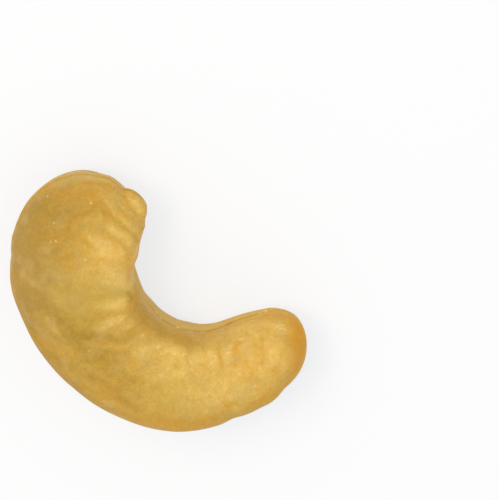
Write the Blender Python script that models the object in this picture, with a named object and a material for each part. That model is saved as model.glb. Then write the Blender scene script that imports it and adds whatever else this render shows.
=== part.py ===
"""A whole roasted cashew kernel, lying on one of its two seed leaves.

The kernel is one grown piece. Its two seed leaves are closed on each other, and the seam between them runs
almost level round the whole edge. The root tip is the nub at the inner corner of the thick end.
Metres, +Z up. The kernel's long way is X and its bay opens to +Y. The origin is on the surface that the
kernel lies on, under the middle of its box.
"""

import bmesh
import bpy
import numpy as np

MM = 0.001

# The kernel is drawn in millimetres by its cross-sections. A station is a place along it: 0 is the root tip,
# 1 to 12 are the sections below, and 13 is the far tip. Each section holds the points where it meets the
# outer edge and the bay's edge, seen from above, the seam's height, and how far the upper and the lower seed
# leaf swell from the seam. The two tips hold a point and the seam's height.
ROOT_TIP = (-4.7, 8.45, 5.3)
SECTIONS = (
    ((-6.65, 8.75), (-4.05, 7.4), 5.3, 1.35, 1.35),
    ((-9.7, 8.4), (-3.9, 6.7), 5.3, 2.95, 2.95),
    ((-12.1, 6.25), (-3.75, 5.8), 5.3, 4.35, 4.4),
    ((-13.1, 3.1), (-3.4, 4.7), 5.3, 5.15, 5.2),
    ((-12.4, -0.2), (-2.95, 3.65), 5.3, 5.4, 5.25),
    ((-10.2, -3.65), (-2.05, 2.45), 5.2, 5.3, 4.95),
    ((-6.7, -6.3), (-0.95, 1.4), 5.1, 5.1, 4.95),
    ((-1.8, -8.3), (0.55, 0.5), 5.05, 5.0, 5.05),
    ((4.05, -8.2), (2.9, 0.45), 4.95, 4.9, 4.9),
    ((9.0, -5.85), (5.3, 1.25), 4.75, 4.7, 4.55),
    ((11.8, -2.4), (7.3, 3.2), 4.5, 4.2, 4.5),
    ((13.05, 1.2), (9.7, 5.0), 4.3, 3.25, 3.15),
)
FAR_TIP = (12.35, 4.35, 4.1)
LAST_STATION = len(SECTIONS) + 1

# A section is an ellipse at 2 and squarer above it: round outside, with a steeper wall in the bay.
OUTER_FULLNESS = 2.15
BAY_FULLNESS = 2.8

# The seam is a fine groove all the way round. In the bay it lies in a wider, shallow valley.
SEAM_DEPTH = 0.22
SEAM_HALF_WIDTH = 0.3
BAY_VALLEY_DEPTH = 0.3
BAY_VALLEY_HALF_WIDTH = 1.4
# Relief and grooves fade out where a section is narrow, by half where it is this far across.
NARROW_HALF_WIDTH = 1.0

# The groove that sets the root tip off from the thick end.
COLLAR_STATION = 1.2
COLLAR_DEPTH = 0.34
COLLAR_HALF_LENGTH = 0.26

# Broad hollows of each seed leaf's face, and rises where the depth is below nought: the depth, the station it
# is at, its reach along in stations, the degrees from the bay's edge and the reach around in degrees.
UPPER_HOLLOWS = (
    (0.34, 6.2, 0.42, 42, 22),
    (0.24, 8.0, 1.6, 22, 12),
    (-0.22, 4.3, 1.4, 72, 36),
    (-0.18, 7.1, 0.7, 62, 24),
    (-0.14, 11.2, 1.1, 80, 36),
)
# The three rises under the lower leaf are what the kernel lies on.
LOWER_HOLLOWS = (
    (-0.20, 4.5, 1.1, 88, 34),
    (0.22, 6.4, 0.8, 66, 30),
    (-0.20, 8.2, 1.2, 96, 34),
    (0.16, 9.8, 0.6, 90, 40),
    (-0.22, 11.2, 0.8, 84, 40),
)
REST_FLAT_DEPTH = 0.16

# A long furrow that slants from the outer edge behind the thick end to the middle of the arm.
SLANT_DEPTH = 0.17
SLANT_START = 5.6
SLANT_STATIONS_PER_DEGREE = 0.043
SLANT_HALF_LENGTH = 0.5

# Low ribs that cross the arm's shoulder over the bay.
RIB_HEIGHT = 0.07
RIB_SPACING = 0.62
RIB_FROM_BAY = 56
RIB_REACH = 22
RIBS_MIDDLE = 8.8
RIBS_HALF_LENGTH = 2.6

RINGS = 88
AROUND = 44
SEAM_CROWDING = 0.32

KERNEL_COLOUR = (0.60, 0.38, 0.10, 1.0)
KERNEL_ROUGHNESS = 0.42


def closed_spline(knots, turn):
    """A closed cubic B-spline through evenly spaced knots; turn goes from 0 to 1 once round it."""
    knots = np.asarray(knots, float)
    count = len(knots)
    own = np.eye(count)
    neighbours = np.roll(own, 1, axis=0) + np.roll(own, -1, axis=0)
    control = np.linalg.solve((4 * own + neighbours) / 6, knots)
    place = np.mod(turn, 1.0) * count
    start = np.floor(place).astype(int)
    t = (place - start)[:, None]
    weights = (
        (1 - t) ** 3 / 6,
        (3 * t**3 - 6 * t**2 + 4) / 6,
        (-3 * t**3 + 3 * t**2 + 3 * t + 1) / 6,
        t**3 / 6,
    )
    return sum(weight * control[(start + k - 1) % count] for k, weight in enumerate(weights))


def there_and_back(values, turn):
    """A smooth curve through values at stations 0 to 13, run out to the far tip and back."""
    knots = np.array([*values, *values[-2:0:-1]])
    return closed_spline(knots[:, None], turn)[:, 0]


def swelling(values, turn):
    """A smooth curve through values at stations 1 to 12. It is nought at both tips and leaves them in a
    straight line, because the way back has the opposite sign, so the tips come out round."""
    knots = np.array([0, *values, 0, *(-value for value in values[::-1])])
    return closed_spline(knots[:, None], turn)[:, 0]


def bell(value, centre, reach):
    """1 at the centre, falling away smoothly on both sides of it."""
    return np.exp(-(((value - centre) / reach) ** 2))


def leaf_relief(station, phi):
    """How far a seed leaf's face stands out of its smooth form."""
    from_bay = np.degrees(np.abs(np.pi - phi))
    upper = np.sin(phi) > 0
    relief = 0
    for hollows, on_leaf in ((UPPER_HOLLOWS, upper), (LOWER_HOLLOWS, ~upper)):
        for depth, place, length, angle, width in hollows:
            relief = relief - depth * bell(station, place, length) * bell(from_bay, angle, width) * on_leaf
    slant = SLANT_START + SLANT_STATIONS_PER_DEGREE * (170 - from_bay)
    relief = relief - SLANT_DEPTH * bell(station, slant, SLANT_HALF_LENGTH) * bell(from_bay, 128, 38)
    rib = np.cos(2 * np.pi * station / RIB_SPACING + 0.8 * np.sin(2 * station))
    on_shoulder = bell(from_bay, RIB_FROM_BAY, RIB_REACH) * bell(station, RIBS_MIDDLE, RIBS_HALF_LENGTH)
    return relief + RIB_HEIGHT * rib * on_shoulder


def kernel_surface(theta, phi):
    """The kernel's skin in millimetres. theta goes from 0 at the root tip to pi at the far tip. phi goes round
    a section: 0 on the outer edge, 90 degrees on top, 180 on the bay's edge, and on underneath."""
    turn = theta / (2 * np.pi)
    station = theta / np.pi * LAST_STATION
    outer_points, bay_points, heights, swells_up, swells_down = zip(*SECTIONS)
    edge = [ROOT_TIP[:2], *outer_points, FAR_TIP[:2], *bay_points[::-1]]
    outer, bay = closed_spline(edge, turn), closed_spline(edge, 1 - turn)
    middle, half = (outer + bay) / 2, (outer - bay) / 2
    half_width = np.linalg.norm(half, axis=1) + 1e-9
    seam_height = there_and_back([ROOT_TIP[2], *heights, FAR_TIP[2]], turn)

    across, upward = np.cos(phi), np.sin(phi)
    fullness = (OUTER_FULLNESS + BAY_FULLNESS) / 2 + (OUTER_FULLNESS - BAY_FULLNESS) / 2 * across
    reach = (np.abs(across) ** fullness + np.abs(upward) ** fullness) ** (-1 / fullness)
    out = across * reach * half_width
    rise = upward * reach * np.where(upward > 0, swelling(swells_up, turn), swelling(swells_down, turn))

    # Relief and the root tip's collar move a point along its own ray from the section's middle.
    fade = half_width / (half_width + NARROW_HALF_WIDTH)
    collar = COLLAR_DEPTH * bell(station, COLLAR_STATION, COLLAR_HALF_LENGTH) * (0.65 + 0.35 * across)
    moved = leaf_relief(station, phi) * np.abs(upward) * fade - collar
    stretch = 1 + moved / (np.hypot(out, rise) + 1e-6)
    out, rise = out * stretch, rise * stretch

    groove = SEAM_DEPTH * bell(rise, 0, SEAM_HALF_WIDTH)
    in_bay = np.clip(-across, 0, 1) * bell(station, 8.5, 3.0)
    valley = BAY_VALLEY_DEPTH * bell(rise, 0, BAY_VALLEY_HALF_WIDTH) * in_bay
    out = out - np.sign(across) * (groove + valley) * fade
    plan = middle + half * (out / half_width)[:, None]
    return np.column_stack([plan, seam_height + rise])


def laid_down(points):
    """The points moved to where the kernel lies, with its three lowest spots worn flat."""
    low, high = points.min(axis=0), points.max(axis=0)
    middle = (low + high) / 2
    moved = points - (middle[0], middle[1], low[2] + REST_FLAT_DEPTH)
    moved[:, 2] = np.maximum(moved[:, 2], 0)
    return moved


def kernel_material():
    material = bpy.data.materials.new("roasted_kernel")
    material.use_nodes = True
    shader = material.node_tree.nodes["Principled BSDF"]
    shader.inputs["Base Color"].default_value = KERNEL_COLOUR
    shader.inputs["Roughness"].default_value = KERNEL_ROUGHNESS
    shader.inputs["Metallic"].default_value = 0.0
    return material


def make_kernel(collection):
    """A UV sphere whose poles become the two tips, carried onto the kernel's skin point by point."""
    ball = bmesh.new()
    bmesh.ops.create_uvsphere(ball, u_segments=AROUND, v_segments=RINGS, radius=1.0)
    mesh = bpy.data.meshes.new("kernel")
    ball.to_mesh(mesh)
    ball.free()

    points = np.empty(len(mesh.vertices) * 3)
    mesh.vertices.foreach_get("co", points)
    x, y, z = points.reshape(-1, 3).T
    theta = np.arccos(np.clip(z, -1, 1))
    even = np.arctan2(y, x)
    phi = np.mod(even - SEAM_CROWDING * np.sin(2 * even), 2 * np.pi)
    points = laid_down(kernel_surface(theta, phi)) * MM
    mesh.vertices.foreach_set("co", points.ravel())
    mesh.update()
    mesh.shade_smooth()
    mesh.materials.append(kernel_material())

    kernel = bpy.data.objects.new("kernel", mesh)
    collection.objects.link(kernel)


def main():
    for leftover in list(bpy.data.objects):
        bpy.data.objects.remove(leftover, do_unlink=True)
    cashew = bpy.data.collections.new("cashew")
    bpy.context.scene.collection.children.link(cashew)
    make_kernel(cashew)


main()
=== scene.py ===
"""A roasted cashew kernel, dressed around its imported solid."""

import itertools

import bpy
import numpy as np
from mathutils import Matrix, Vector


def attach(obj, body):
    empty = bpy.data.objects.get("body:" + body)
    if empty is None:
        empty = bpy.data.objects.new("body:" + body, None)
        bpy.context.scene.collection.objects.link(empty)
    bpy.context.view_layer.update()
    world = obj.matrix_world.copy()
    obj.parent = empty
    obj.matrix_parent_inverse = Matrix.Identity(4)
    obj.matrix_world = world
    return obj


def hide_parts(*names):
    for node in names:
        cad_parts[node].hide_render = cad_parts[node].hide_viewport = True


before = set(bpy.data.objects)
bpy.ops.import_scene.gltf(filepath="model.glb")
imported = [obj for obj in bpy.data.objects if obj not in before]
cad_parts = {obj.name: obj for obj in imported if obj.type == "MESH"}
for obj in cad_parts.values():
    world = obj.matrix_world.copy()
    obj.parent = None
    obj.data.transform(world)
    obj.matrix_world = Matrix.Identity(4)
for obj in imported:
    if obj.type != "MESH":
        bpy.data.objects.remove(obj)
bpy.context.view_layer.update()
scene = bpy.context.scene

# Camera
# A very long lens over the kernel, twenty degrees off straight down and turned so that the kernel's long way
# slants down to the right. It stands on the side that the bay opens to, so it sees into the bay's wall.

MM = 0.001
LENS_MM = 900
SENSOR_MM = 36
VIEW_HEIGHT_MM = 40.3
VIEW_TILT = np.radians(20)
KERNEL_TURN = np.radians(29)
VIEW_CENTRE_MM = (4.62, 8.79, 5.23)

turned_x, turned_y = np.cos(KERNEL_TURN), np.sin(KERNEL_TURN)
picture_right = Vector((turned_x, turned_y, 0))
towards_camera = Vector(
    (-turned_y * np.sin(VIEW_TILT), turned_x * np.sin(VIEW_TILT), np.cos(VIEW_TILT))
)
picture_up = towards_camera.cross(picture_right)
view_distance = VIEW_HEIGHT_MM * MM * LENS_MM / SENSOR_MM

camera_data = bpy.data.cameras.new("camera")
camera_data.lens = LENS_MM
camera_data.sensor_width = SENSOR_MM
camera_data.clip_start = 0.01
camera_data.clip_end = 10
camera = bpy.data.objects.new("camera", camera_data)
scene.collection.objects.link(camera)
axes = Matrix((picture_right, picture_up, towards_camera)).transposed()
camera.matrix_world = Matrix.Translation(
    Vector(VIEW_CENTRE_MM) * MM + towards_camera * view_distance
) @ axes.to_4x4()
scene.camera = camera

# Kernel
# One grown piece of roasted nut flesh: two seed leaves closed on each other, with the root tip as a nub at
# the thick end. Its skin is waxy with its own oil, wrinkled across the shoulder over the bay, and toasted
# brown at the thin far tip. It lies loose on its lower leaf.

# A station is a place along the kernel, from 0 at the root tip to 13 at the far tip. Each section holds its
# outer point and its bay point seen from above, the seam's height and the two leaves' swelling.
ROOT_TIP = (-4.7, 8.45, 5.3)
SECTIONS = (
    ((-6.65, 8.75), (-4.05, 7.4), 5.3, 1.35, 1.35),
    ((-9.7, 8.4), (-3.9, 6.7), 5.3, 2.95, 2.95),
    ((-12.1, 6.25), (-3.75, 5.8), 5.3, 4.35, 4.4),
    ((-13.1, 3.1), (-3.4, 4.7), 5.3, 5.15, 5.2),
    ((-12.4, -0.2), (-2.95, 3.65), 5.3, 5.4, 5.25),
    ((-10.2, -3.65), (-2.05, 2.45), 5.2, 5.3, 4.95),
    ((-6.7, -6.3), (-0.95, 1.4), 5.1, 5.1, 4.95),
    ((-1.8, -8.3), (0.55, 0.5), 5.05, 5.0, 5.05),
    ((4.05, -8.2), (2.9, 0.45), 4.95, 4.9, 4.9),
    ((9.0, -5.85), (5.3, 1.25), 4.75, 4.7, 4.55),
    ((11.8, -2.4), (7.3, 3.2), 4.5, 4.2, 4.5),
    ((13.05, 1.2), (9.7, 5.0), 4.3, 3.25, 3.15),
)
FAR_TIP = (12.35, 4.35, 4.1)
LAST_STATION = len(SECTIONS) + 1
# A section is an ellipse at 2 and squarer above it: round outside, with a steeper wall in the bay.
OUTER_FULLNESS, BAY_FULLNESS = 2.15, 2.8
# Relief fades out where a section is narrow, by half at this half-width, and towards the seam.
NARROW_HALF_WIDTH = 1.0
SEAM_FADE_POWER = 0.6
# The lowest spots are worn flat by this much, and the skin is moved this far in X and in Y to lie where the
# solid lies.
REST_FLAT_DEPTH = 0.16
LAID_SHIFT = (0.009, -0.070)

# The seam is a fine groove between two lips. It wavers and varies in depth, more so on the outer edge.
SEAM_DEPTH, SEAM_HALF_WIDTH = 0.16, 0.12
SEAM_WAVER, OUTER_WAVER = 0.20, 0.9
SEAM_UNEVENNESS, OUTER_UNEVENNESS = 0.5, 0.3
LOWER_LIP_OFFSET = -0.40
LIP_HEIGHT, LIP_HALF_WIDTH = 0.035, 0.20
# How far the seam sinks below the widest line on the bay's side: depth, station, reach along.
SEAM_DROPS = ((0.45, 8.3, 1.2), (0.95, 11.0, 1.15), (1.1, 12.3, 0.7))
# Where the bay starts to turn, the lips have all but grown together.
CLOSED_STATION, CLOSED_HALF_LENGTH, CLOSED_SHARE = 7.2, 1.35, 0.95
# In the bay the seam lies in a wider, shallow valley.
BAY_VALLEY_DEPTH, BAY_VALLEY_HALF_WIDTH = 0.3, 1.4
BAY_STATION, BAY_HALF_LENGTH = 8.5, 3.0
# The groove that sets the root tip off from the thick end, shallower on the bay's side.
COLLAR_STATION, COLLAR_DEPTH, COLLAR_HALF_LENGTH = 1.2, 0.34, 0.26
COLLAR_MIDDLE_SHARE = 0.65
# Swellings of the outer edge, and hollows where the height is below nought: height, station, reach along.
EDGE_SWELLINGS = (
    (0.14, 0.55, 0.28),
    (-0.28, 1.24, 0.12),
    (0.10, 1.56, 0.13),
    (-0.18, 1.92, 0.24),
    (-0.05, 2.5, 0.4),
    (-0.10, 3.4, 0.5),
    (-0.17, 4.3, 0.7),
    (-0.13, 5.2, 0.3),
    (-0.07, 6.3, 0.35),
    (0.10, 7.15, 0.45),
    (-0.07, 7.95, 0.25),
    (0.19, 9.45, 0.65),
    (-0.14, 10.45, 0.14),
    (0.08, 10.85, 0.15),
    (0.34, 11.3, 0.36),
    (-0.06, 11.66, 0.12),
    (0.42, 12.3, 0.55),
)
# The same for the bay's wall.
WALL_SWELLINGS = (
    (0.10, 1.9, 0.5),
    (0.14, 2.9, 0.7),
    (0.17, 4.05, 0.6),
    (-0.10, 5.4, 0.6),
    (0.13, 7.85, 0.35),
    (-0.17, 8.9, 0.45),
    (-0.12, 9.7, 0.5),
    (-0.05, 10.5, 0.4),
    (-0.16, 11.3, 0.35),
    (0.19, 12.5, 0.35),
)

# Broad hollows of each seed leaf's face, and rises where the depth is below nought: depth, station, reach
# along in stations, degrees from the bay's edge, reach around in degrees.
UPPER_HOLLOWS = (
    (-0.22, 4.3, 1.4, 72, 36),
    (0.05, 5.3, 0.5, 92, 12),
    (0.10, 6.15, 0.42, 30, 16),
    (-0.18, 7.1, 0.7, 62, 24),
    (0.20, 8.0, 1.6, 24, 13),
    (-0.06, 9.6, 0.3, 62, 16),
    (-0.06, 10.35, 0.28, 56, 16),
    (-0.07, 11.0, 0.26, 60, 18),
    (-0.14, 11.2, 1.1, 80, 36),
    (-0.05, 11.55, 0.22, 66, 18),
)
# The three broad rises under the lower leaf are what the kernel lies on.
LOWER_HOLLOWS = (
    (-0.20, 4.5, 1.1, 88, 34),
    (0.22, 6.4, 0.8, 66, 30),
    (-0.20, 8.2, 1.2, 96, 34),
    (0.16, 9.8, 0.6, 90, 40),
    (-0.22, 11.2, 0.8, 84, 40),
)
# A long furrow that slants from the outer edge behind the thick end to the middle of the arm.
SLANT_DEPTH, SLANT_HALF_LENGTH, SLANT_FROM_BAY, SLANT_REACH = 0.17, 0.5, 128, 38
SLANT_START, SLANT_START_FROM_BAY, SLANT_STATIONS_PER_DEGREE = 5.6, 170, 0.043
# Low ribs that cross the arm's shoulder over the bay, spaced a little unevenly.
RIB_HEIGHT, RIB_SPACING, RIB_UNEVENNESS = 0.07, 0.62, 0.8
RIB_FROM_BAY, RIB_REACH, RIBS_MIDDLE, RIBS_HALF_LENGTH = 56, 22, 8.8, 2.6
# The trough beside the seam starts under a fold, where the flesh steps down and then rises again slowly.
FOLD_STATION, FOLD_DEPTH, FOLD_FROM_BAY, FOLD_REACH = 5.93, 0.20, 24, 8
FOLD_STEP_LENGTH, FOLD_HALF_LENGTH = 0.12, 0.8

# The skin's random grain: height and size of its swellings, and the seed.
GRAIN = ((0.045, 2.4, 1), (0.030, 1.1, 2), (0.014, 0.5, 3))
# Furrows drawn out along the outer flank, and wrinkles drawn out across the shoulder over the bay.
FURROW_HEIGHT, FURROW_SIZE, FURROW_STRETCH, FURROWS_FROM_BAY, FURROWS_REACH = 0.030, 0.55, 6, 125, 32
WRINKLE_HEIGHT, WRINKLE_SIZE, WRINKLE_STRETCH, WRINKLES_FROM_BAY, WRINKLES_REACH = 0.050, 0.6, 4, 50, 26
WRINKLES_MIDDLE, WRINKLES_HALF_LENGTH = 8.5, 3.4

# Strokes that growing, drying and roasting left on the skin: how much paler, how much browner and how far
# out in millimetres, the half-width in millimetres, then the points each runs through. A point is a station
# and the degrees from the bay's edge, below nought on the lower leaf.
STROKES = (
    # the peaked creases of the thick end and the pale flesh between them, partly a painted highlight on the
    # dome
    (-0.55, 0.25, -0.03, 0.27, ((2.37, 112), (2.74, 110), (3.13, 111), (3.53, 111))),
    (-0.49, 0.30, -0.04, 0.34, ((2.37, 112), (2.31, 89), (2.33, 67), (2.43, 46), (2.8, 32))),
    (-0.33, 0.26, -0.02, 0.34, ((2.96, 78), (3.13, 60), (3.59, 38))),
    (0.49, 0.00, 0.01, 0.34, ((2.07, 125), (1.98, 106), (1.98, 82), (2.07, 64), (2.2, 46))),
    (0.41, 0.00, 0.01, 0.31, ((2.74, 78), (2.76, 63), (2.91, 48))),
    (0.45, -0.03, 0.01, 0.45, ((2.89, 103), (2.79, 94))),
    (0.38, 0.00, 0.01, 0.50, ((3.31, 90), (3.39, 84))),
    (0.64, -0.05, 0.01, 0.67, ((3.39, 76), (3.59, 68), (3.83, 64))),
    (0.34, -0.05, 0.01, 0.62, ((4.55, 58), (4.98, 52), (5.36, 49))),
    (0.26, -0.03, 0.00, 0.78, ((5.05, 91), (5.05, 81))),
    (0.26, 0.00, 0.00, 0.56, ((4.66, 108), (4.66, 101))),
    # browner and duller spots around them
    (-0.33, 0.45, -0.01, 0.50, ((2.06, 154), (1.69, 148), (1.37, 134))),
    (-0.13, 0.41, 0.00, 0.67, ((2.87, 151), (2.63, 139))),
    (-0.26, 0.15, 0.00, 0.56, ((3.48, 165), (3.39, 159))),
    (-0.33, 0.11, 0.00, 0.56, ((3.74, 150), (3.72, 145))),
    (-0.85, 0.15, -0.01, 0.48, ((4.86, 135), (5.05, 131))),
    (-0.10, 0.34, 0.00, 0.62, ((4.40, 95), (4.57, 93))),
    (-0.26, 0.19, 0.00, 0.50, ((4.44, 71), (4.66, 69))),
    (-0.10, 0.50, 0.00, 0.45, ((3.7, 42), (4.2, 38), (4.7, 35), (5.4, 33))),
    (-0.29, -0.12, 0.00, 0.78, ((5.12, 104), (5.14, 98))),
    # the nub
    (-0.08, 0.30, -0.01, 0.36, ((1.35, 132), (1.39, 102), (1.32, 75))),
    (0.55, -0.05, 0.01, 0.48, ((0.95, 120), (0.85, 95))),
    (-0.05, 0.55, -0.01, 0.40, ((0.75, 58), (1.1, 62), (1.6, 66), (1.9, 84))),
    # painted shade in the trough beside the seam, under a fold, with its browner start
    (-0.70, 0.15, -0.16, 1.10, ((6.3, 39), (6.9, 38), (7.7, 33), (8.6, 28), (9.3, 29))),
    (-0.30, 0.10, -0.03, 0.50, ((6.4, 28), (7.0, 24), (8.2, 18), (9.2, 20))),
    (-1.10, 0.10, -0.02, 0.36, ((5.95, 37), (6.25, 35))),
    (-0.20, 0.30, -0.01, 0.40, ((6.35, 45), (6.75, 45), (7.1, 41))),
    # lumps and streaks of the middle
    (0.80, 0.04, 0.03, 0.47, ((5.20, 140), (5.36, 126), (5.55, 110), (5.73, 100))),
    (-0.29, 0.00, -0.03, 0.62, ((5.71, 119), (5.99, 106), (6.51, 100), (7.06, 96))),
    (0.65, -0.15, 0.01, 0.72, ((6.07, 60), (6.34, 52))),
    (0.85, -0.10, 0.03, 0.55, ((6.84, 72), (6.82, 62), (6.86, 55))),
    (-0.29, 0.22, -0.01, 0.34, ((6.45, 70), (6.5, 55))),
    (0.75, -0.10, 0.02, 0.29, ((6.21, 118), (6.42, 116), (6.58, 113))),
    (-0.60, 0.06, -0.02, 0.42, ((6.80, 90), (7.05, 77), (7.40, 67), (7.55, 56))),
    (0.34, 0.00, 0.01, 0.22, ((6.93, 97), (7.27, 87), (7.60, 70), (7.80, 55), (7.91, 44))),
    (-0.45, 0.22, -0.01, 0.42, ((7.43, 86), (7.69, 80), (7.88, 70))),
    (0.49, 0.04, 0.02, 0.31, ((7.06, 113), (7.30, 106), (7.62, 104), (7.84, 102), (8.10, 102))),
    (-0.30, 0.15, -0.01, 0.24, ((7.8, 113), (8.30, 116), (8.62, 114))),
    (-0.33, 0.19, -0.01, 0.28, ((7.49, 92), (7.67, 90), (7.95, 84))),
    (0.08, 0.41, 0.00, 0.50, ((6.77, 142), (6.95, 130), (7.16, 116))),
    (0.38, 0.08, 0.01, 0.36, ((8.30, 126), (8.45, 122))),
    (-0.36, 0.11, -0.01, 0.50, ((8.38, 87), (8.65, 82), (8.84, 84))),
    (0.15, -0.17, 0.00, 1.01, ((6.14, 88), (6.36, 79))),
    # wrinkles across the shoulder over the bay and the arm: pale lumps, partly painted highlight on the
    # wrinkles' crests, with browner flesh between
    (0.60, 0.00, 0.02, 0.45, ((8.12, 64), (8.17, 57))),
    (0.56, 0.11, 0.01, 0.19, ((8.17, 55), (8.32, 50), (8.51, 46))),
    (0.65, -0.05, 0.02, 0.31, ((8.89, 46), (9.08, 46))),
    (0.49, -0.05, 0.01, 0.39, ((8.82, 70), (8.89, 65))),
    (0.75, -0.25, 0.02, 0.42, ((9.60, 38), (9.63, 46))),
    (0.90, 0.00, 0.02, 0.44, ((9.98, 42), (10.04, 52))),
    (0.90, 0.00, 0.02, 0.42, ((10.48, 44), (10.52, 54))),
    (0.75, 0.00, 0.02, 0.44, ((11.00, 46), (11.02, 62))),
    (0.60, 0.00, 0.02, 0.45, ((11.65, 56), (11.66, 74))),
    (0.41, 0.15, 0.01, 0.31, ((11.57, 76), (11.61, 87))),
    (0.80, -0.05, 0.02, 0.44, ((11.85, 32), (11.96, 38), (12.09, 46))),
    (-0.35, 0.45, -0.03, 0.20, ((10.22, 38), (10.28, 50), (10.33, 62))),
    (-0.35, 0.32, -0.03, 0.24, ((10.78, 41), (10.78, 55), (10.69, 66))),
    (-0.29, 0.19, -0.02, 0.26, ((9.80, 29), (9.84, 40), (9.80, 52))),
    (-0.23, 0.15, -0.02, 0.22, ((9.3, 30), (9.35, 44), (9.3, 56))),
    (-0.15, 0.12, -0.02, 0.25, ((11.32, 50), (11.34, 66), (11.3, 80))),
    (0.08, -0.17, 0.00, 0.62, ((11.30, 46), (11.44, 52))),
    (-0.26, 0.22, -0.02, 0.18, ((9.39, 71), (9.50, 81), (9.60, 91), (9.71, 93))),
    (0.15, -0.17, 0.00, 1.01, ((9.08, 90), (9.39, 94))),
    (0.26, 0.00, 0.00, 0.62, ((9.87, 86), (10.09, 94))),
    (-0.18, 0.32, -0.01, 0.38, ((10.81, 84), (11.00, 95))),
    (-0.20, 0.35, -0.01, 0.30, ((11.57, 90), (11.57, 102))),
    (-0.15, 0.25, 0.00, 0.32, ((10.30, 103), (10.39, 110))),
    # brown along the lower rim and round the thin tip
    (-0.05, 0.50, -0.01, 0.38, ((10.78, 123), (11.06, 127), (11.31, 122))),
    (-0.12, 0.30, 0.00, 0.35, ((8.87, 126), (9.34, 124), (9.82, 122), (10.17, 118), (10.41, 114))),
    (-0.25, 0.80, 0.00, 0.50, ((11.6, 0), (12.1, 2), (12.65, 20), (12.8, 70), (12.6, 116), (12.1, 138))),
    (-0.10, 0.55, 0.00, 0.70, ((11.6, 10), (12.1, 13), (12.4, 30), (12.5, 70), (12.3, 110))),
    (-0.59, 0.30, -0.01, 0.13, ((12.02, 27), (12.06, 29))),
    # the rim that shows beyond the seam, and a spot of painted shade in the seam
    (0.85, -0.20, 0.00, 0.50, ((1.45, -160), (2.0, -168), (3.0, -165), (3.9, -168))),
    (-0.80, 0.10, -0.03, 0.14, ((10.45, -12), (10.62, -14))),
    # the underside, which the kernel dried on
    (0.34, 0.08, 0.01, 0.67, ((3.2, -70), (4.4, -96), (5.6, -104))),
    (-0.33, 0.22, -0.03, 0.39, ((4.6, -62), (5.8, -74), (6.9, -92), (8.0, -100))),
    (0.38, 0.04, 0.01, 0.56, ((8.3, -66), (9.2, -82), (10.4, -88))),
    (-0.29, 0.30, -0.02, 0.34, ((9.6, -112), (10.6, -106), (11.6, -96))),
    (-0.26, 0.19, -0.03, 0.31, ((2.4, -116), (2.5, -92), (2.9, -60))),
)
# How far the strokes are bent.
STROKE_WOBBLE = 0.22
# Painted highlights: where a small glint is painted into the colour, with its station, degrees from the
# bay's edge and radius in millimetres.
PAINTED_GLINTS = (
    (0.80, 120, 0.10),
    (1.28, 142, 0.08),
    (1.46, 81, 0.08),
    (2.44, 117, 0.09),
    (3.22, 158, 0.07),
    (3.57, 124, 0.07),
    (4.00, 113, 0.06),
    (4.09, 116, 0.07),
    (4.24, 82, 0.07),
    (4.70, 54, 0.06),
    (6.83, 66, 0.07),
    (6.86, 56, 0.08),
    (7.88, 46, 0.07),
    (8.14, -7, 0.09),
    (8.19, 54, 0.06),
    (8.36, -5, 0.06),
    (8.51, 46, 0.08),
    (8.99, -6, 0.10),
    (9.00, 46, 0.10),
    (9.24, 45, 0.08),
    (10.17, 42, 0.07),
    (10.50, 48, 0.08),
    (10.85, 37, 0.07),
    (10.93, 38, 0.10),
    (11.04, 100, 0.08),
    (11.42, -16, 0.06),
    (11.57, -18, 0.10),
    (11.70, 5, 0.07),
    (11.89, 35, 0.08),
    (11.96, 40, 0.08),
    (12.03, 34, 0.06),
    (12.07, 42, 0.08),
    (12.57, 66, 0.08),
)
# A station's length and a degree's, as they are on average on the skin.
MM_PER_STATION, MM_PER_DEGREE = 2.7, 0.087

RINGS, AROUND, SEAM_CROWDING = 368, 256, 0.25
# The point at either tip is read this far from it, where a section still has a width.
TIP_THETA = 1e-4


def closed_spline(knots, turn):
    """A closed cubic B-spline through evenly spaced knots; turn goes from 0 to 1 once round it."""
    knots = np.asarray(knots, float)
    count = len(knots)
    own = np.eye(count)
    neighbours = np.roll(own, 1, axis=0) + np.roll(own, -1, axis=0)
    control = np.linalg.solve((4 * own + neighbours) / 6, knots)
    place = np.mod(turn, 1.0) * count
    start = np.floor(place).astype(int)
    t = (place - start)[:, None]
    weights = (
        (1 - t) ** 3 / 6,
        (3 * t**3 - 6 * t**2 + 4) / 6,
        (-3 * t**3 + 3 * t**2 + 3 * t + 1) / 6,
        t**3 / 6,
    )
    return sum(weight * control[(start + k - 1) % count] for k, weight in enumerate(weights))


def there_and_back(values, turn):
    """A smooth curve through values at stations 0 to 13, run out to the far tip and back."""
    return closed_spline(np.array([*values, *values[-2:0:-1]])[:, None], turn)[:, 0]


def swelling(values, turn):
    """A smooth curve through values at stations 1 to 12, nought at both tips, which it leaves in a straight
    line because the way back has the opposite sign."""
    knots = np.array([0, *values, 0, *(-value for value in values[::-1])])
    return closed_spline(knots[:, None], turn)[:, 0]


def bell(value, centre, reach):
    """exp(-((value - centre) / reach) squared): 1 at the centre, falling away smoothly."""
    return np.exp(-(((value - centre) / reach) ** 2))


def step_up(value, start, length):
    """From 0 at start to 1 a length further on, as 3 t squared - 2 t cubed."""
    t = np.clip((value - start) / length, 0, 1)
    return t * t * (3 - 2 * t)


def lumps(points, size, seed):
    """Random swellings between -1 and 1: random numbers on a cubic lattice with cells of this size, blended
    smoothly between each cell's eight corners."""
    cells = 32
    lattice = np.random.default_rng(seed).uniform(-1, 1, (cells, cells, cells))
    place = np.asarray(points) / size
    cell = np.floor(place).astype(int)
    t = place - cell
    t = t * t * (3 - 2 * t)
    total = 0
    for corner in itertools.product((0, 1), repeat=3):
        weight = np.prod(np.where(corner, t, 1 - t), axis=1)
        i, j, k = ((cell + corner) % cells).T
        total = total + weight * lattice[i, j, k]
    return total


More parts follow.
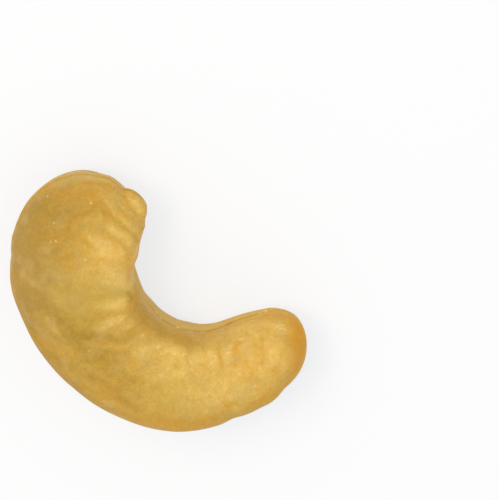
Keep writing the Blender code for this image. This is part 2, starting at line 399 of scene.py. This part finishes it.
def from_line(here, route):
    """Millimetres along the skin to the nearest point of a line through route."""
    route = np.array(route) * (MM_PER_STATION, MM_PER_DEGREE)
    nearest = np.full(len(here), np.inf)
    for start, end in zip(route[:-1], route[1:]):
        run = end - start
        t = np.clip((here - start) @ run / (run @ run), 0, 1)
        nearest = np.minimum(nearest, np.linalg.norm(here - start - t[:, None] * run, axis=1))
    return nearest


def stroked(station, phi, smooth):
    """What the strokes add up to at each point: paler, browner and further out. Each is a bell across its
    line, and all are bent by random swellings, so that none runs true."""
    angle = np.degrees(np.pi - phi)
    wobble = np.column_stack(
        [lumps(smooth, 1.4, seed) + 0.5 * lumps(smooth, 0.6, seed + 20) for seed in (8, 9)]
    )
    here = np.column_stack([station * MM_PER_STATION, angle * MM_PER_DEGREE]) + STROKE_WOBBLE * wobble
    total = np.zeros((3, len(here)))
    for *amounts, half_width, route in STROKES:
        total += np.outer(amounts, bell(from_line(here, route), 0, half_width))
    return total


def patches(amounts, station, from_bay):
    """The sum of soft round patches on the skin, each a bell along times a bell around."""
    total = 0
    for amount, place, length, angle, width in amounts:
        total = total + amount * bell(station, place, length) * bell(from_bay, angle, width)
    return total


def leaf_relief(station, phi):
    """How far a seed leaf's face stands out of its smooth form: the broad hollows, the slanting furrow and
    the ribs of the solid, and the fold."""
    from_bay = np.degrees(np.abs(np.pi - phi))
    upper = np.sin(phi) > 0
    relief = -patches(UPPER_HOLLOWS, station, from_bay) * upper
    relief = relief - patches(LOWER_HOLLOWS, station, from_bay) * ~upper
    slant = SLANT_START + SLANT_STATIONS_PER_DEGREE * (SLANT_START_FROM_BAY - from_bay)
    furrow = bell(station, slant, SLANT_HALF_LENGTH) * bell(from_bay, SLANT_FROM_BAY, SLANT_REACH)
    relief = relief - SLANT_DEPTH * furrow
    rib = np.cos(2 * np.pi * station / RIB_SPACING + RIB_UNEVENNESS * np.sin(2 * station))
    on_shoulder = bell(from_bay, RIB_FROM_BAY, RIB_REACH) * bell(station, RIBS_MIDDLE, RIBS_HALF_LENGTH)
    relief = relief + RIB_HEIGHT * rib * on_shoulder
    fold = step_up(station, FOLD_STATION - FOLD_STEP_LENGTH / 2, FOLD_STEP_LENGTH)
    fold = fold * bell(np.maximum(station, FOLD_STATION), FOLD_STATION, FOLD_HALF_LENGTH)
    return relief - FOLD_DEPTH * fold * bell(from_bay, FOLD_FROM_BAY, FOLD_REACH) * upper


def kernel_skin(theta, phi):
    """The kernel's skin in millimetres, and for each point how far it is above the seam, how near the upper
    lip, how much paler and how much browner. theta goes from 0 at the root tip to pi at the far tip, and phi
    from 0 on the outer edge over the top to pi on the bay's edge and on underneath. Each section is a
    squared-off ellipse between the two edge curves, |across|^n + |upward|^n = 1, moved along its own rays by
    the relief."""
    turn = theta / (2 * np.pi)
    station = theta / np.pi * LAST_STATION
    outer_points, bay_points, heights, swells_up, swells_down = zip(*SECTIONS)
    edge = [ROOT_TIP[:2], *outer_points, FAR_TIP[:2], *bay_points[::-1]]
    outer, bay = closed_spline(edge, turn), closed_spline(edge, 1 - turn)
    middle, half = (outer + bay) / 2, (outer - bay) / 2
    half_width = np.linalg.norm(half, axis=1) + 1e-9
    seam_height = there_and_back([ROOT_TIP[2], *heights, FAR_TIP[2]], turn)

    across, upward = np.cos(phi), np.sin(phi)
    fullness = (OUTER_FULLNESS + BAY_FULLNESS) / 2 + (OUTER_FULLNESS - BAY_FULLNESS) / 2 * across
    reach = (np.abs(across) ** fullness + np.abs(upward) ** fullness) ** (-1 / fullness)
    out = across * reach * half_width
    rise = upward * reach * np.where(upward > 0, swelling(swells_up, turn), swelling(swells_down, turn))

    fade = half_width / (half_width + NARROW_HALF_WIDTH)
    collar = COLLAR_DEPTH * bell(station, COLLAR_STATION, COLLAR_HALF_LENGTH)
    collar = collar * (COLLAR_MIDDLE_SHARE + (1 - COLLAR_MIDDLE_SHARE) * across)
    outer_side, bay_side = np.clip(across, 0, 1), np.clip(-across, 0, 1)
    edge_out = sum(height * bell(station, place, length) for height, place, length in EDGE_SWELLINGS)
    wall_out = sum(height * bell(station, place, length) for height, place, length in WALL_SWELLINGS)
    smooth = np.column_stack([middle + half * (out / half_width)[:, None], seam_height + rise])
    from_bay = np.degrees(np.abs(np.pi - phi))
    along, around = station * MM_PER_STATION, np.degrees(phi) * MM_PER_DEGREE
    grain = sum(height * lumps(smooth, size, seed) for height, size, seed in GRAIN)
    drawn_along = np.column_stack([along / FURROW_STRETCH, around, 0 * along])
    furrows = FURROW_HEIGHT * lumps(drawn_along, FURROW_SIZE, 4)
    grain = grain + furrows * bell(from_bay, FURROWS_FROM_BAY, FURROWS_REACH)
    drawn_around = np.column_stack([along, around / WRINKLE_STRETCH, 0 * along])
    wrinkles = WRINKLE_HEIGHT * lumps(drawn_around, WRINKLE_SIZE, 5)
    wrinkles = wrinkles * bell(station, WRINKLES_MIDDLE, WRINKLES_HALF_LENGTH)
    grain = grain + wrinkles * bell(from_bay, WRINKLES_FROM_BAY, WRINKLES_REACH)
    paler, browner, raised = stroked(station, phi, smooth)
    moved = (leaf_relief(station, phi) + raised + grain) * np.abs(upward) ** SEAM_FADE_POWER * fade
    moved = moved - collar + edge_out * outer_side + wall_out * bay_side
    stretch = 1 + moved / (np.hypot(out, rise) + 1e-6)
    out, rise = out * stretch, rise * stretch

    edge_line = np.column_stack([along, np.sign(across), 0 * along])
    sinking = sum(depth * bell(station, place, length) for depth, place, length in SEAM_DROPS) * bay_side
    waver = SEAM_WAVER * (1 + OUTER_WAVER * outer_side) * lumps(edge_line, 1.9, 6)
    from_seam = rise - waver * fade + sinking
    uneven = lumps(edge_line, 1.2, 7) + lumps(edge_line, 0.5, 17)
    uneven = 1 + (SEAM_UNEVENNESS + OUTER_UNEVENNESS * outer_side) * uneven
    closed = 1 - CLOSED_SHARE * bell(station, CLOSED_STATION, CLOSED_HALF_LENGTH) * bay_side
    groove = SEAM_DEPTH * bell(from_seam, 0, SEAM_HALF_WIDTH) * uneven * closed
    upper_lip = bell(from_seam, np.maximum(sinking, -LOWER_LIP_OFFSET), LIP_HALF_WIDTH)
    lips = LIP_HEIGHT * (upper_lip + bell(from_seam, LOWER_LIP_OFFSET, LIP_HALF_WIDTH)) * uneven * closed
    valley = BAY_VALLEY_DEPTH * bell(rise, 0, BAY_VALLEY_HALF_WIDTH)
    valley = valley * bay_side * bell(station, BAY_STATION, BAY_HALF_LENGTH)
    out = out - np.sign(across) * (groove - lips + valley) * fade
    plan = middle + half * (out / half_width)[:, None]
    return np.column_stack([plan, seam_height + rise]), from_seam, upper_lip, paler, browner


# Rings from tip to tip, each with the same points around, and a single point at either tip.
theta = np.pi * np.arange(1, RINGS) / RINGS
even = 2 * np.pi * np.arange(AROUND + 1) / AROUND
phi = even - SEAM_CROWDING * np.sin(2 * even)
theta_grid, phi_grid = (grid.ravel() for grid in np.meshgrid(theta, phi[:-1], indexing="ij"))
theta_all = np.concatenate([theta_grid, [TIP_THETA, np.pi - TIP_THETA]])
phi_all = np.concatenate([phi_grid, [0, 0]])
skin, from_seam, upper_lip, paler, browner = kernel_skin(theta_all, phi_all)

# It is laid where the solid lies, with its lowest spots worn flat.
skin = skin + (*LAID_SHIFT, -(skin[:, 2].min() + REST_FLAT_DEPTH))
skin[:, 2] = np.maximum(skin[:, 2], 0)

ring = np.arange((RINGS - 1) * AROUND).reshape(RINGS - 1, AROUND)
beyond = np.roll(ring, -1, axis=1)
sides = np.stack([ring[:-1], ring[1:], beyond[1:], beyond[:-1]], axis=-1).reshape(-1, 4)
root_fan = np.column_stack([np.full(AROUND, ring.size), ring[0], beyond[0]])
far_fan = np.column_stack([np.full(AROUND, ring.size + 1), beyond[-1], ring[-1]])
kernel_mesh = bpy.data.meshes.new("kernel_skin")
kernel_mesh.from_pydata((skin * MM).tolist(), [], sides.tolist() + root_fan.tolist() + far_fan.tolist())
kernel_mesh.update()
kernel_mesh.shade_smooth()
kernel = bpy.data.objects.new("kernel_skin", kernel_mesh)
scene.collection.objects.link(kernel)

# The skin's own map: millimetres along the kernel and around it.
station_mm = theta / np.pi * LAST_STATION * MM_PER_STATION
around_mm = np.degrees(phi) * MM_PER_DEGREE
along_map, around_map = np.meshgrid(station_mm, around_mm, indexing="ij")
grid_map = np.stack([along_map, around_map], axis=-1)
side_map = np.stack([grid_map[:-1, :-1], grid_map[1:, :-1], grid_map[1:, 1:], grid_map[:-1, 1:]], axis=2)
tip_around = (around_mm[:-1] + around_mm[1:]) / 2
root_point = np.column_stack([np.zeros(AROUND), tip_around])
far_point = np.column_stack([np.full(AROUND, LAST_STATION * MM_PER_STATION), tip_around])
root_map = np.stack([root_point, grid_map[0, :-1], grid_map[0, 1:]], axis=1)
far_map = np.stack([far_point, grid_map[-1, 1:], grid_map[-1, :-1]], axis=1)
skin_map = kernel_mesh.uv_layers.new(name="skin_mm")
corners = np.concatenate([part.reshape(-1, 2) for part in (side_map, root_map, far_map)])
skin_map.data.foreach_set("uv", corners.astype(np.float32).ravel())

# What the colour follows, as soft patches: amount, station, reach along, degrees from the bay, reach around.
# Paler over the bay's shoulder and the arm, duller on the thick end's outer side.
PALE_PATCHES = (
    (0.85, 0.8, 0.8, 90, 60),
    (1.15, 2.0, 0.8, 174, 18),
    (0.30, 2.2, 0.9, 132, 30),
    (0.50, 2.5, 0.6, 56, 24),
    (-0.40, 3.0, 0.8, 112, 22),
    (-1.15, 3.4, 1.6, 146, 34),
    (0.20, 3.9, 2.2, 176, 18),
    (1.05, 4.2, 1.4, 56, 24),
    (1.20, 4.2, 1.4, 27, 12),
    (-0.55, 4.2, 0.8, 116, 24),
    (-0.95, 5.35, 0.7, 116, 22),
    (1.20, 5.35, 0.5, 36, 13),
    (-0.55, 5.4, 0.6, 138, 20),
    (-1.00, 5.6, 1.9, 156, 28),
    (0.70, 6.15, 0.35, 46, 16),
    (-0.50, 6.2, 0.8, 100, 26),
    (0.45, 6.3, 0.6, 46, 16),
    (-0.35, 6.35, 0.35, 80, 20),
    (0.30, 6.5, 2.5, 176, 16),
    (-0.45, 7.0, 0.8, 104, 18),
    (0.65, 7.05, 0.40, 45, 10),
    (-0.75, 7.6, 1.7, 152, 32),
    (0.15, 8.0, 0.5, 40, 12),
    (-0.65, 8.1, 0.9, 96, 20),
    (0.75, 8.7, 0.7, 42, 12),
    (0.35, 8.9, 0.8, 74, 26),
    (0.30, 9.2, 0.5, 130, 14),
    (0.25, 9.40, 0.40, 50, 22),
    (-0.30, 9.4, 0.7, 108, 16),
    (-0.10, 9.6, 2.2, 168, 18),
    (0.15, 9.9, 0.6, 34, 12),
    (-0.30, 9.9, 0.6, 68, 18),
    (1.05, 10.5, 1.5, 82, 36),
    (0.25, 10.8, 0.4, 116, 16),
    (0.80, 10.9, 0.9, 14, 16),
    (-0.20, 11.2, 0.6, 52, 20),
    (0.45, 11.4, 0.7, 32, 22),
    (0.60, 11.9, 0.7, 88, 28),
    (0.30, 12.2, 0.6, 36, 26),
    (0.35, 12.2, 0.7, 150, 26),
    (-0.10, 12.6, 0.6, 100, 50),
)
# The lower leaf has these patches fainter, and is duller below the seam.
LOWER_SHARE = 0.5
LOWER_DULLNESS, LOWER_DULL_START, LOWER_DULL_LENGTH = 0.3, 0.3, 1.5
# Duller and browner all round the outer edge.
RIM_DULLNESS, RIM_BROWNING, RIM_FROM_BAY, RIM_REACH = 0.45, 0.40, 180, 22
# Browner by roasting: the thin far tip, the rims, and softly over the thick end.
TOAST_PATCHES = (
    (-0.35, 2.0, 0.7, 172, 20),
    (0.15, 2.4, 0.6, 128, 26),
    (0.18, 3.3, 0.8, 95, 28),
    (0.14, 4.0, 0.6, 66, 18),
    (0.45, 4.2, 1.2, 28, 14),
    (-0.35, 4.4, 1.8, 172, 24),
    (-0.40, 5.6, 1.0, 84, 40),
    (0.35, 6.8, 1.8, 168, 24),
    (0.35, 9.3, 0.6, 132, 14),
    (-0.30, 9.3, 0.9, 84, 30),
    (0.25, 9.7, 0.5, 132, 14),
    (0.60, 9.8, 1.8, 164, 24),
    (-0.15, 9.8, 0.6, 34, 12),
    (0.30, 10.8, 1.0, 12, 16),
    (0.25, 11.2, 0.6, 62, 26),
    (0.20, 11.4, 0.4, 145, 16),
    (0.15, 11.7, 0.4, 60, 20),
    (0.60, 11.9, 0.9, 158, 34),
    (0.35, 12.3, 0.5, 60, 60),
    (1.30, 13.0, 0.55, 90, 150),
)
# Drier, so that it looks chalky: the thick end's rims and outer side, and the palest strokes, which also
# whitens the painted highlights among them.
DRY_AND_HIGHLIGHT_STROKE_SHARE, DRY_AND_HIGHLIGHT_STROKE_START = 0.3, 0.35
DRY_PATCHES = (
    (0.35, 2.2, 0.9, 174, 16),
    (-0.15, 2.4, 0.5, 48, 20),
    (0.16, 2.8, 0.4, 123, 18),
    (0.08, 3.9, 1.5, 20, 16),
    (0.14, 4.2, 1.2, 142, 22),
    (0.25, 5.4, 0.8, 110, 46),
    (0.10, 9.1, 0.5, 98, 18),
    (-0.12, 9.9, 0.8, 134, 20),
    (-0.16, 11.9, 0.8, 40, 50),
)
# Where random painted glints, pale dots that stand for highlights, are thickly sown, and their share
# everywhere and on the seam's upper lip.
GLINT_SHARE, LIP_GLINT_SHARE = 0.04, 0.12
PAINTED_GLINT_PATCHES = (
    (0.25, 0.9, 0.7, 90, 50),
    (0.08, 2.43, 0.4, 112, 18),
    (0.12, 6.5, 1.0, 55, 12),
    (0.30, 8.2, 1.6, 42, 10),
    (0.20, 10.6, 1.3, 48, 14),
    (0.25, 12.1, 0.4, 28, 16),
)
# Painted shade in the seam's groove, and how much darker it is as a thin line towards the far tip.
SEAM_SHADE_SHARE, THIN_LINE_SHARE = 0.20, 0.55
THIN_LINE_STATION, THIN_LINE_HALF_LENGTH = 10.7, 0.75
# Paler bands above the seam in the bay: height above it, half-width, station, reach along.
PALE_LIPS = ((0.46, 0.28, 7.7, 1.1), (0.26, 0.13, 10.6, 0.85))
# The bay's wall has a colour of its own, which comes in over a short way below the seam.
WALL_STATION, WALL_HALF_LENGTH, WALL_REACH, WALL_START_LENGTH = 8.6, 2.6, 40, 0.4
# Where the fibres show: along the outer flank, and across the shoulder over the bay.
FLANK_FROM_BAY, FLANK_REACH = 130, 34
SHOULDER_FROM_BAY, SHOULDER_REACH = 54, 30

station_all = theta_all / np.pi * LAST_STATION
from_bay_all = np.degrees(np.abs(np.pi - phi_all))
upper_all = np.sin(phi_all) > 0
bay_side_all = np.clip(-np.cos(phi_all), 0, 1)
in_bay = bell(station_all, WALL_STATION, WALL_HALF_LENGTH) * bay_side_all
bay_wall_here = step_up(-from_seam, 0, WALL_START_LENGTH) * bell(from_bay_all, 0, WALL_REACH) * in_bay
thin_line = bell(station_all, THIN_LINE_STATION, THIN_LINE_HALF_LENGTH) * bay_side_all
open_seam = 1 - bell(station_all, CLOSED_STATION, CLOSED_HALF_LENGTH) * bay_side_all
seam_painted_shade_share = SEAM_SHADE_SHARE + THIN_LINE_SHARE * thin_line
seam_painted_shade = bell(from_seam, 0, SEAM_HALF_WIDTH) * seam_painted_shade_share * open_seam
pale_lips = sum(
    bell(from_seam, offset, width) * bell(station_all, place, length) * bay_side_all
    for offset, width, place, length in PALE_LIPS
)
glint_here = np.column_stack([station_all * MM_PER_STATION, np.degrees(np.pi - phi_all) * MM_PER_DEGREE])
painted_glints = sum(
    bell(np.linalg.norm(glint_here - (place * MM_PER_STATION, angle * MM_PER_DEGREE), axis=1), 0, radius)
    for place, angle, radius in PAINTED_GLINTS
)
on_rim = bell(from_bay_all, RIM_FROM_BAY, RIM_REACH)
below_seam = step_up(-from_seam, LOWER_DULL_START, LOWER_DULL_LENGTH) * (1 - on_rim)
on_face = patches(PALE_PATCHES, station_all, from_bay_all) * np.where(upper_all, 1, LOWER_SHARE)
toasted = patches(TOAST_PATCHES, station_all, from_bay_all) + browner
dried = patches(DRY_PATCHES, station_all, from_bay_all)
sown = patches(PAINTED_GLINT_PATCHES, station_all, from_bay_all) * upper_all
for name, values in (
    ("pale", on_face + paler - RIM_DULLNESS * on_rim - LOWER_DULLNESS * below_seam),
    ("toast", toasted + RIM_BROWNING * on_rim),
    ("dry", dried + DRY_AND_HIGHLIGHT_STROKE_SHARE * np.clip(paler - DRY_AND_HIGHLIGHT_STROKE_START, 0, 1)),
    ("seam", seam_painted_shade),
    ("lip", pale_lips),
    ("bay_wall", bay_wall_here),
    ("flank", bell(from_bay_all, FLANK_FROM_BAY, FLANK_REACH)),
    ("shoulder", bell(from_bay_all, SHOULDER_FROM_BAY, SHOULDER_REACH)),
    ("glints", GLINT_SHARE + sown + LIP_GLINT_SHARE * upper_lip * in_bay),
    ("painted_glints", painted_glints),
):
    attribute = kernel_mesh.attributes.new(name, "FLOAT", "POINT")
    attribute.data.foreach_set("value", values.astype(np.float32))


def set_inputs(node, values):
    """Sets a shader node's inputs by name."""
    for name, value in values.items():
        node.inputs[name].default_value = value


class Wire:
    """One output of a shader node. Arithmetic on it adds Math nodes to the same material."""

    def __init__(self, tree, socket=None):
        self.tree = tree
        self.socket = socket

    def node(self, kind, settings=None, inputs=None, output=0):
        """Adds a node of this kind: its settings, then its sockets' values or links. Gives one output."""
        made = self.tree.nodes.new(kind)
        for name, value in (settings or {}).items():
            setattr(made, name, value)
        for name, value in (inputs or {}).items():
            if isinstance(value, Wire):
                self.tree.links.new(value.socket, made.inputs[name])
            else:
                made.inputs[name].default_value = value
        return Wire(self.tree, made.outputs[output])

    def maths(self, operation, *values):
        """A Math node on these values."""
        return self.node("ShaderNodeMath", {"operation": operation}, dict(enumerate(values)))

    def __add__(self, other):
        return self.maths("ADD", self, other)

    def __sub__(self, other):
        return self.maths("SUBTRACT", self, other)

    def __mul__(self, other):
        return self.maths("MULTIPLY", self, other)

    def __lt__(self, other):
        return self.maths("LESS_THAN", self, other)

    __radd__ = __add__

    def between(self, low, high):
        """0 at low and 1 at high, even between them and held at both ends."""
        return self.node("ShaderNodeMapRange", inputs={"Value": self, "From Min": low, "From Max": high})

    def mixed(self, colour, other):
        """colour where this is 0 and other where it is 1."""
        return self.node("ShaderNodeMix", {"data_type": "RGBA"}, {0: self, 6: colour, 7: other}, output=2)


MID_FLESH = (0.578, 0.349, 0.062, 1)
PALE_FLESH = (0.812, 0.545, 0.148, 1)
DULL_FLESH = (0.368, 0.218, 0.032, 1)
TOASTED = (0.665, 0.300, 0.016, 1)
DRY_FLESH = (0.545, 0.372, 0.130, 1)
OLIVE_FLESH = (0.555, 0.375, 0.055, 1)
SEAM_PAINTED_SHADE = (0.260, 0.140, 0.030, 1)
LIP_FLESH = (0.640, 0.395, 0.140, 1)
WALL_FLESH = (0.655, 0.455, 0.150, 1)
PAINTED_GLINT_COLOUR = (0.980, 0.760, 0.300, 1)
SPECK = (0.280, 0.105, 0.015, 1)
# Waxy, and smoother where there is oil.
ROUGHNESS = 0.58
BUMP_DEPTH_M = 0.00012

material = bpy.data.materials.new("roasted_kernel")
material.use_nodes = True
tree = material.node_tree
shader = tree.nodes["Principled BSDF"]
skin_wire = Wire(tree)
place = skin_wire.node("ShaderNodeTexCoord", output=3)
skin_place = skin_wire.node("ShaderNodeUVMap", {"uv_map": "skin_mm"})


def attribute_wire(name):
    """One of the values that the skin holds at each of its points."""
    return skin_wire.node("ShaderNodeAttribute", {"attribute_name": name}, output=2)


def mottle(per_metre, detail, roughness=0.6):
    """Even mottling in space, around 0.5."""
    return skin_wire.node(
        "ShaderNodeTexNoise",
        inputs={"Vector": place, "Scale": per_metre, "Detail": detail, "Roughness": roughness},
    )


# The skin's map, bent by soft noise: each point is moved by up to this many millimetres along and around.
BEND_MM = 3
soft_noise = skin_wire.node(
    "ShaderNodeTexNoise", inputs={"Vector": skin_place, "Scale": 0.35, "Detail": 2}, output=1
)
bent_map = skin_wire.node(
    "ShaderNodeVectorMath",
    {"operation": "MULTIPLY_ADD"},
    {0: soft_noise, 1: (BEND_MM, BEND_MM, 0), 2: skin_place},
)


def varied(noise, spread):
    """A noise from 0 to 1 made to vary about nought, over this spread in all."""
    return (noise - 0.5) * spread


def streaks(along_scale, around_scale, detail):
    """Mottling drawn out along or around the kernel, on the bent map, so that no streak runs straight."""
    drawn = skin_wire.node(
        "ShaderNodeMapping", inputs={"Vector": bent_map, "Scale": (along_scale, around_scale, 1)}
    )
    return skin_wire.node("ShaderNodeTexNoise", inputs={"Vector": drawn, "Scale": 1, "Detail": detail})


def dots(per_metre, radius, share, seed):
    """1 in small round dots, one in each of this share of the cells of a Voronoi pattern."""
    shifted = skin_wire.node(
        "ShaderNodeVectorMath", {"operation": "ADD"}, {0: place, 1: (seed, seed, seed)}
    )
    cells = {"Vector": shifted, "Scale": per_metre, "Randomness": 1}
    distance = skin_wire.node("ShaderNodeTexVoronoi", inputs=cells)
    pick = skin_wire.node("ShaderNodeTexVoronoi", inputs=cells, output=1)
    pick = skin_wire.node("ShaderNodeSeparateColor", inputs={"Color": pick})
    return distance.between(radius, radius * 0.5) * (pick < share)


pale, toast, seam = attribute_wire("pale"), attribute_wire("toast"), attribute_wire("seam")
lip, bay_wall, dry = attribute_wire("lip"), attribute_wire("bay_wall"), attribute_wire("dry")
flank, shoulder = attribute_wire("flank"), attribute_wire("shoulder")
glints, painted_glints = attribute_wire("glints"), attribute_wire("painted_glints")

broad, middling, fine, grainy = mottle(300, 2), mottle(800, 2), mottle(2000, 3, 0.7), mottle(5200, 2, 0.7)
cream_flecks = mottle(1500, 4, 0.65).between(0.54, 0.60)
dull_flecks = mottle(1150, 4, 0.65).between(0.46, 0.40)
fibres_along = streaks(0.16, 1.2, 3)
fibres_across = streaks(1.0, 0.28, 3)
tone = (
    pale
    + varied(broad, 0.35)
    + varied(middling, 0.5)
    + varied(fine, 1.0)
    + cream_flecks * 0.30
    - dull_flecks * 0.24
    + varied(grainy, 1.5)
    + varied(fibres_across, 1.4) * shoulder
    + varied(fibres_along, 1.2) * flank
)
colour = tone.between(-1.5, 0.0).mixed(DULL_FLESH, MID_FLESH)
colour = tone.between(0.0, 1.5).mixed(colour, PALE_FLESH)
browned = (
    toast
    + varied(mottle(420, 3), 0.9)
    + varied(mottle(1400, 2), 1.0)
    + varied(mottle(3300, 2), 0.7)
    + varied(fibres_across, 0.8) * shoulder
    + varied(fine, 0.4)
)
colour = browned.between(-0.05, 1.4).mixed(colour, TOASTED)
colour = browned.between(-0.05, -1.2).mixed(colour, OLIVE_FLESH)
dryness = mottle(560, 4).between(0.49, 0.67) * 0.38
colour = (dryness + dry).between(0, 1).mixed(colour, DRY_FLESH)
colour = (bay_wall * 0.6).mixed(colour, WALL_FLESH)
colour = (lip * 0.75).mixed(colour, LIP_FLESH)
# Painted shade along the seam's groove.
colour = seam.mixed(colour, SEAM_PAINTED_SHADE)
speck = dots(700, radius=0.07, share=0.05, seed=0.31)
colour = (speck * 0.5).mixed(colour, SPECK)
# Painted highlights: pale golden glints painted into the colour, random ones and the listed ones.
glint = dots(1500, radius=0.15, share=glints, seed=0.77) * middling.between(0.3, 0.75)
painted_glint_spots = glint + painted_glints
colour = (painted_glint_spots.between(0, 1) * 0.75).mixed(colour, PAINTED_GLINT_COLOUR)
tree.links.new(colour.socket, shader.inputs["Base Color"])

oil = mottle(2600, 1).between(0.56, 0.72)
roughness = ROUGHNESS + varied(middling, 0.3) - oil * 0.22 - painted_glint_spots * 0.2
tree.links.new(roughness.socket, shader.inputs["Roughness"])

height = fine * 0.7 + mottle(4200, 1) * 0.4 + fibres_across * shoulder * 0.5 + oil * 0.2 + painted_glint_spots * 0.3
bump = skin_wire.node(
    "ShaderNodeBump", inputs={"Strength": 0.7, "Distance": BUMP_DEPTH_M, "Height": height}
)
tree.links.new(bump.socket, shader.inputs["Normal"])

# Light goes a little way into the flesh, red furthest.
looks = {
    "IOR": 1.46,
    "Specular IOR Level": 0.10,
    "Subsurface Weight": 0.25,
    "Subsurface Radius": (1.0, 0.5, 0.16),
    "Subsurface Scale": 0.0007,
}
set_inputs(shader, looks)
kernel_mesh.materials.append(material)

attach(kernel, "root")
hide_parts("kernel")

# Floor
# A plain pale board that glows evenly, as a light table does, so that shadows on it stay faint. It is wide
# enough to fill every view.

FLOOR_HALF_WIDTH = 0.7
floor_mesh = bpy.data.meshes.new("floor")
floor_corners = [
    (x * FLOOR_HALF_WIDTH, y * FLOOR_HALF_WIDTH, 0) for x, y in ((-1, -1), (1, -1), (1, 1), (-1, 1))
]
floor_mesh.from_pydata(floor_corners, [], [(0, 1, 2, 3)])
floor = bpy.data.objects.new("floor", floor_mesh)
scene.collection.objects.link(floor)
board = bpy.data.materials.new("white_board")
board.use_nodes = True
board_looks = {
    "Base Color": (0.33, 0.275, 0.228, 1),
    "Roughness": 0.9,
    "Specular IOR Level": 0.1,
    "Emission Color": (0.847, 0.930, 1.0, 1),
    "Emission Strength": 0.733,
}
set_inputs(board.node_tree.nodes["Principled BSDF"], board_looks)
floor_mesh.materials.append(board)

# Light
# A white tent all round, one large soft lamp up to the picture's left, and a small one for the glints.

world = bpy.data.worlds.new("tent")
scene.world = world
world.use_nodes = True
set_inputs(world.node_tree.nodes["Background"], {"Color": (1, 1, 1, 1), "Strength": 0.78})
KERNEL_MIDDLE = Vector((0, 0, 0.005))


def lamp(name, direction, distance, size, watts):
    """A square lamp that shines on the kernel's middle from this direction."""
    data = bpy.data.lights.new(name, "AREA")
    data.size = size
    data.energy = watts
    made = bpy.data.objects.new(name, data)
    scene.collection.objects.link(made)
    made.location = KERNEL_MIDDLE + direction.normalized() * distance
    made.rotation_euler = direction.to_track_quat("Z", "Y").to_euler()


level_up = Vector((picture_up.x, picture_up.y, 0)).normalized()
overhead = Vector((0, 0, 1))
soft_direction = level_up * 0.42 - picture_right * 0.34 + overhead
glint_direction = (level_up - picture_right) * 0.35 + overhead
lamp("soft_lamp", soft_direction, distance=0.4, size=0.22, watts=0.58)
lamp("glint_lamp", glint_direction, distance=0.5, size=0.02, watts=0.12)

scene.view_settings.view_transform = "Standard"
